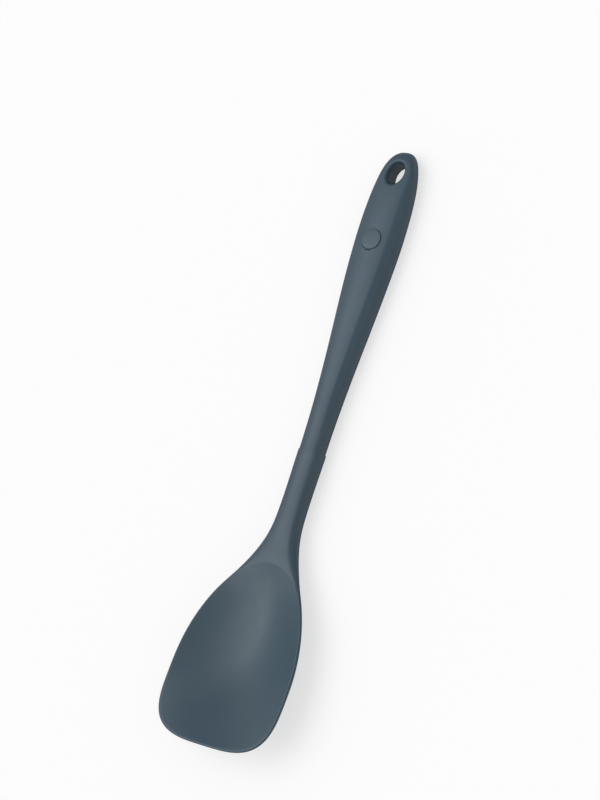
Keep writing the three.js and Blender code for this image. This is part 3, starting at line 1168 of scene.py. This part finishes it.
    def edge(self, front: PlanPoint, outer: PlanPoint, back: PlanPoint) -> list[Vector]:
        """A rounded edge from the front's border, out to the rim's middle and in to the back's border.

        Args:
            front: a place on the front grid's border.
            outer: the place beside it on the outline.
            back: the place beside it on the back grid's border.

        Returns:
            The points, from the front's border to the back's.
        """
        points = [front.at(self.front(front))]
        for step in range(1, 2 * self.edge_steps):
            turn = math.pi * step / (2 * self.edge_steps)
            up = math.cos(turn)
            place = front.towards(outer, math.sin(turn))
            station, side = place.station, place.side
            wall = self.side_wall.at(station)
            height = self.rim.at(station) + wall * up
            if up > 0:
                height += self.solid_front(station, side) - self.rim.at(station) - wall
            else:
                height -= self.keel(station, side)
            points.append(place.at(height))
        return points + [back.at(self.back(back))]

    def build(self, core: Core) -> bpy.types.Object:
        """Models the bowl and its neck sleeve, with the core's cavity.

        Args:
            core: the core that the bowl is moulded on.

        Returns:
            The finished shell.
        """
        shell = self.mould()
        self.soften_rim(shell)
        cut(shell, core.cavity_cutter())
        clean(shell)
        smooth_by_angle(shell, self.crease_angle)
        return shell

    def soften_rim(self, skin: bpy.types.Object) -> None:
        """Bevels the crease between the hollow and the rim.

        Args:
            skin: the modelled bowl.
        """
        edit(skin, SelectBy.EDGES)
        bpy.ops.mesh.select_all(action="DESELECT")
        mesh = bmesh.from_edit_mesh(skin.data)
        loop_mark = mesh.verts.layers.int["loop"]
        crease_start = (LENGTH / 2 - self.arch - self.after_arch) * MM
        for edge in mesh.edges:
            on_crease = all(v[loop_mark] == 1 and v.co.x < crease_start for v in edge.verts)
            edge.select_set(on_crease)
        bmesh.update_edit_mesh(skin.data)
        bpy.ops.mesh.bevel(
            offset=self.rim_bevel * MM, segments=self.rim_bevel_steps, affect="EDGES", clamp_overlap=True
        )
        bpy.ops.object.mode_set(mode="OBJECT")


@dataclass(frozen=True)
class SoftSun:
    """A broad, distant studio light: its direction, its brightness and its width in degrees."""

    name: str
    towards: tuple[float, float, float]
    strength: float
    width: float
    height: float = 1.0

    def add(self) -> None:
        """Adds the light."""
        deselect()
        bpy.ops.object.light_add(type="SUN", location=(0, 0, self.height))
        lamp = bpy.context.object
        lamp.name = self.name
        lamp.rotation_mode = "QUATERNION"
        lamp.rotation_quaternion = Vector(self.towards).to_track_quat("Z", "Y")
        lamp.data.energy = self.strength
        lamp.data.angle = math.radians(self.width)


@dataclass
class Studio:
    """The pale floor, the soft light and the camera."""

    # In metres.
    floor_width: float = 8.0
    clip_start: float = 0.05
    clip_end: float = 50.0

    floor_drop: float = 0.1
    world_light: float = 0.445
    backdrop_tone: float = 0.97
    lights: tuple[SoftSun, ...] = (
        SoftSun("key_light", (-0.08, 0.35, 0.933), strength=1.38, width=60.0),
        SoftSun("left_fill", (-0.1, 0.88, 0.47), strength=0.58, width=80.0),
        SoftSun("right_fill", (-0.2, -0.96, 0.2), strength=0.5, width=90.0),
    )

    # The camera's lens and place; lean is a share of its distance, and its turns are in degrees.
    lens: float = 99.0
    sensor: float = 36.0
    distance: float = 1006.9
    lean: float = -0.15
    tip_over: float = 34.0
    roll: float = 17.4
    aim_across: float = -15.2
    aim_up: float = 44.6
    focal_pixels: float = 2200.0

    def light(self) -> None:
        """Adds the soft lights and an even surround, which the camera sees as a white backdrop."""
        for light in self.lights:
            light.add()
        world = bpy.data.worlds.new("pale_surround")
        bpy.context.scene.world = world
        world.use_nodes = True
        tree = world.node_tree
        sky = tree.nodes["Background"]
        sky.inputs["Color"].default_value = (1, 1, 1, 1)
        path = tree.nodes.new("ShaderNodeLightPath")
        strength = tree.nodes.new("ShaderNodeMapRange")
        strength.inputs["To Min"].default_value = self.world_light
        strength.inputs["To Max"].default_value = self.backdrop_tone
        tree.links.new(path.outputs["Is Camera Ray"], strength.inputs["Value"])
        tree.links.new(strength.outputs["Result"], sky.inputs["Strength"])

    def lay_floor(self) -> None:
        """Adds the pale floor just under the spoon."""
        deselect()
        bpy.ops.mesh.primitive_plane_add(size=self.floor_width, location=(0, 0, -self.floor_drop * MM))
        floor = bpy.context.object
        floor.name = "floor"
        floor.data.materials.append(Paper().make())

    def set_camera(self) -> None:
        """Places the camera at the photograph's viewing angle."""
        deselect()
        tilt, turn = math.radians(self.tip_over), math.radians(self.roll)
        rest = math.sqrt(1 - self.lean**2)
        back = Vector((self.lean, -math.sin(tilt) * rest, math.cos(tilt) * rest))
        along = (Vector((1, 0, 0)) - self.lean * back).normalized()
        across = back.cross(along)
        right = math.sin(turn) * along - math.cos(turn) * across
        up = math.cos(turn) * along + math.sin(turn) * across
        centre = Vector((0, 0, WAIST_THICKNESS / 2)) * MM
        eye = centre + back * self.distance * MM
        aim = -back + right * (self.aim_across / self.focal_pixels)
        aim += up * (self.aim_up / self.focal_pixels)
        back = -aim.normalized()
        right = up.cross(back).normalized()
        up = back.cross(right)
        bpy.ops.object.camera_add()
        camera = bpy.context.object
        camera.name = "camera"
        turned = Matrix((right, up, back)).transposed().to_4x4()
        camera.matrix_world = Matrix.Translation(eye) @ turned
        camera.data.lens = self.lens
        camera.data.sensor_width = self.sensor
        camera.data.clip_start = self.clip_start
        camera.data.clip_end = self.clip_end
        bpy.context.scene.camera = camera


def main() -> None:
    """Builds the spoon's pieces in order, dresses them, and sets the studio."""
    logging.basicConfig(level=logging.INFO, format="%(name)s: %(message)s")
    core = Core()
    badge = Badge()
    grip = GripSkin()
    bowl = BowlSkin()
    grip.dress(grip.build(badge, core))
    bowl.dress(bowl.build(core))
    badge.dress(badge.build())
    core.dress()

    studio = Studio()
    studio.light()
    studio.lay_floor()
    studio.set_camera()
    bpy.context.scene.view_settings.view_transform = "Standard"


if __name__ == "__main__":
    main()
